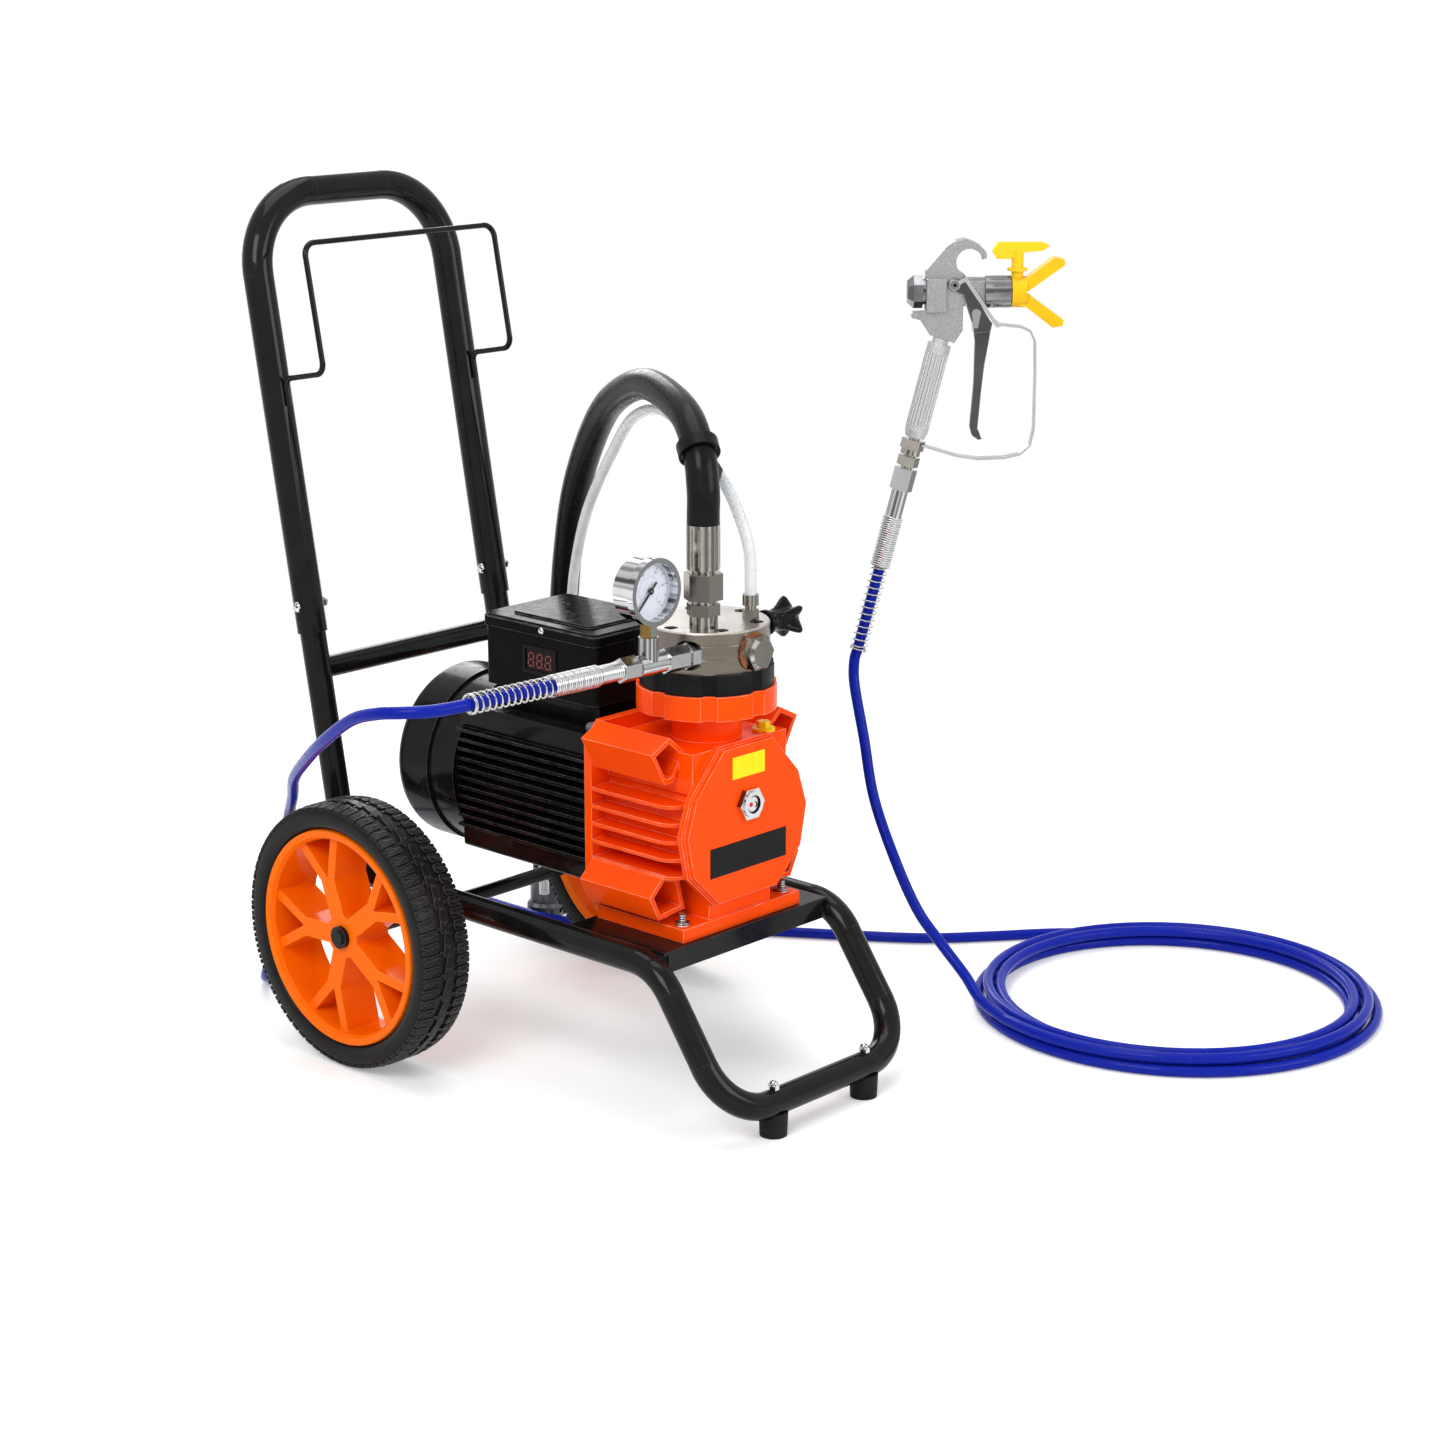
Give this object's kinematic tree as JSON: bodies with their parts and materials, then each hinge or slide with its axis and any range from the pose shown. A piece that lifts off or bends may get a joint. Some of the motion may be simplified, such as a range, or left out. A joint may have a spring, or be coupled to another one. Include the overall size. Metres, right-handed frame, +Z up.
{
  "type": "airless paint sprayer",
  "caption": "Wheeled airless paint sprayer: tube cart with electric motor and diaphragm pump, suction hose, blue high-pressure hose coil and spray gun.",
  "frame": {"origin": "on the floor, midway between the two wheels, under the axle", "axes": "+Z up; the front of the cart, with the two rubber feet, faces -Y; +X is the side of the pressure knob and of the suction strainer"},
  "size_m": [1.1523, 1.132, 0.9088],
  "materials": {
    "black_frame": "gloss black powder coat",
    "black_axle": "gloss black",
    "chrome_trim": "bright plated",
    "foot_rubber": "matte",
    "rim_orange": "semi gloss",
    "tyre": "matte with block tread",
    "motor_black": "satin black on cast aluminium",
    "steel": "machined",
    "box_black": "satin",
    "display": "dark window with dim red digits",
    "switch_red": "gloss",
    "crankcase_orange": "gloss orange on cast metal",
    "cap_yellow": "gloss",
    "ring_black": "satin black",
    "head_steel": "turned, nickel tone",
    "screw_black": "black oxide",
    "fitting_steel": "zinc plated",
    "clear_glass": "clear",
    "knob_black": "gloss",
    "suction_rubber": "satin black hose",
    "strainer_metal": "dull grey",
    "clear_tube": "milky translucent",
    "hose_blue": "gloss blue jacket",
    "gun_aluminium": "bead blasted",
    "trigger_grey": "dark grey satin",
    "guard_yellow": "amber yellow",
    "tip_yellow": "bright yellow"
  },
  "bodies": {
    "cart": {"frame": "black_frame", "deck_plate": "black_frame", "axle": "black_axle", "handle": "black_frame", "frame_bolts": "chrome_trim", "hose_hanger": "black_frame", "rubber_feet": "foot_rubber", "motor_housing": "motor_black", "motor_end_shield": "motor_black", "fan_cowl": "motor_black", "stator": "steel", "shaft_bearings": "steel", "control_box": "box_black", "control_box_lid": "box_black", "display_module": "display", "crankcase": "crankcase_orange", "crankcase_cover": "crankcase_orange", "sight_glass": "chrome_trim", "oil_cap": "cap_yellow", "base_bolts": "steel", "piston": "steel", "piston_spring": "steel", "diaphragm": "foot_rubber", "clamp_ring": "ring_black", "pump_head": "head_steel", "head_screws": "screw_black", "valve_plug": "head_steel", "head_fittings": "fitting_steel", "outlet_tee": "fitting_steel", "gauge_case": "chrome_trim", "gauge_lens": "clear_glass", "suction_hose": "suction_rubber", "suction_strainer": "strainer_metal", "hose_clips": "box_black", "return_tube": "clear_tube", "hose_ferrules": "fitting_steel", "spring_guards": "chrome_trim", "hose_run": "hose_blue", "hose_coil": "hose_blue", "hose_riser": "hose_blue", "gun_body": "gun_aluminium", "gun_grip": "gun_aluminium", "trigger_guard": "chrome_trim", "retaining_nut": "fitting_steel", "gun_plug": "steel"},
    "wheel_left": {"rim_left": "rim_orange", "tyre_left": "tyre"},
    "wheel_right": {"rim_right": "rim_orange", "tyre_right": "tyre"},
    "rotor": {"rotor_shaft": "steel", "cooling_fan": "box_black", "eccentric": "steel"},
    "knob": {"pressure_knob": "knob_black"},
    "needle": {"gauge_needle": "box_black"},
    "switch": {"power_switch": "switch_red"},
    "trigger": {"gun_trigger": "trigger_grey"},
    "lock": {"trigger_lock": "steel"},
    "gun_pin": {"gun_needle": "steel"},
    "guard": {"tip_guard": "guard_yellow"},
    "tip": {"spray_tip": "tip_yellow"}
  },
  "joints": [
    {"name": "wheel_left_spin", "type": "hinge", "parent": "cart", "child": "wheel_left", "pos_m": [-0.214, 0, 0.143], "axis": [1, 0, 0], "continuous": true},
    {"name": "wheel_right_spin", "type": "hinge", "parent": "cart", "child": "wheel_right", "pos_m": [0.214, 0, 0.143], "axis": [1, 0, 0], "continuous": true},
    {"name": "motor_spin", "type": "hinge", "parent": "cart", "child": "rotor", "pos_m": [0, -0.1, 0.291], "axis": [0, 1, 0], "continuous": true},
    {"name": "pressure_knob_turn", "type": "hinge", "parent": "cart", "child": "knob", "pos_m": [0.09, -0.317, 0.48], "axis": [1, 0, 0], "range_deg": [0, 720]},
    {"name": "gauge_needle_sweep", "type": "hinge", "parent": "cart", "child": "needle", "pos_m": [-0.10985, -0.33181, 0.544], "axis": [0, 1, 0], "range_deg": [0, 270], "stiffness_Nm_per_rad": 0.0002, "springref_deg": -57.3},
    {"name": "power_switch_rock", "type": "hinge", "parent": "cart", "child": "switch", "pos_m": [0.055, -0.122, 0.428], "axis": [0, 1, 0], "range_deg": [-10, 0]},
    {"name": "trigger_pull", "type": "hinge", "parent": "cart", "child": "trigger", "pos_m": [0.42813, -0.2744, 0.791], "axis": [0.7349, 0.6782, 0], "range_deg": [0, 11], "stiffness_Nm_per_rad": 0.6, "springref_deg": -20.05},
    {"name": "gun_needle_slide", "type": "slide", "parent": "cart", "child": "gun_pin", "axis": [-0.6782, 0.7349, 0], "range_m": [0, 0.0022]},
    {"name": "trigger_lock_turn", "type": "hinge", "parent": "trigger", "child": "lock", "pos_m": [0.43411, -0.30153, 0.76], "axis": [0.7349, 0.6782, 0], "range_deg": [0, 90]},
    {"name": "tip_guard_turn", "type": "hinge", "parent": "cart", "child": "guard", "pos_m": [0.47221, -0.32217, 0.782], "axis": [0.6782, -0.7349, 0], "range_deg": [-90, 90]},
    {"name": "spray_tip_reverse", "type": "hinge", "parent": "guard", "child": "tip", "pos_m": [0.47492, -0.32511, 0.787], "axis": [0, 0, 1], "range_deg": [0, 180]}
  ],
  "couplings": [
    {"joint": "gun_needle_slide", "follows": "trigger_pull", "m_per_rad": 0.011}
  ]
}
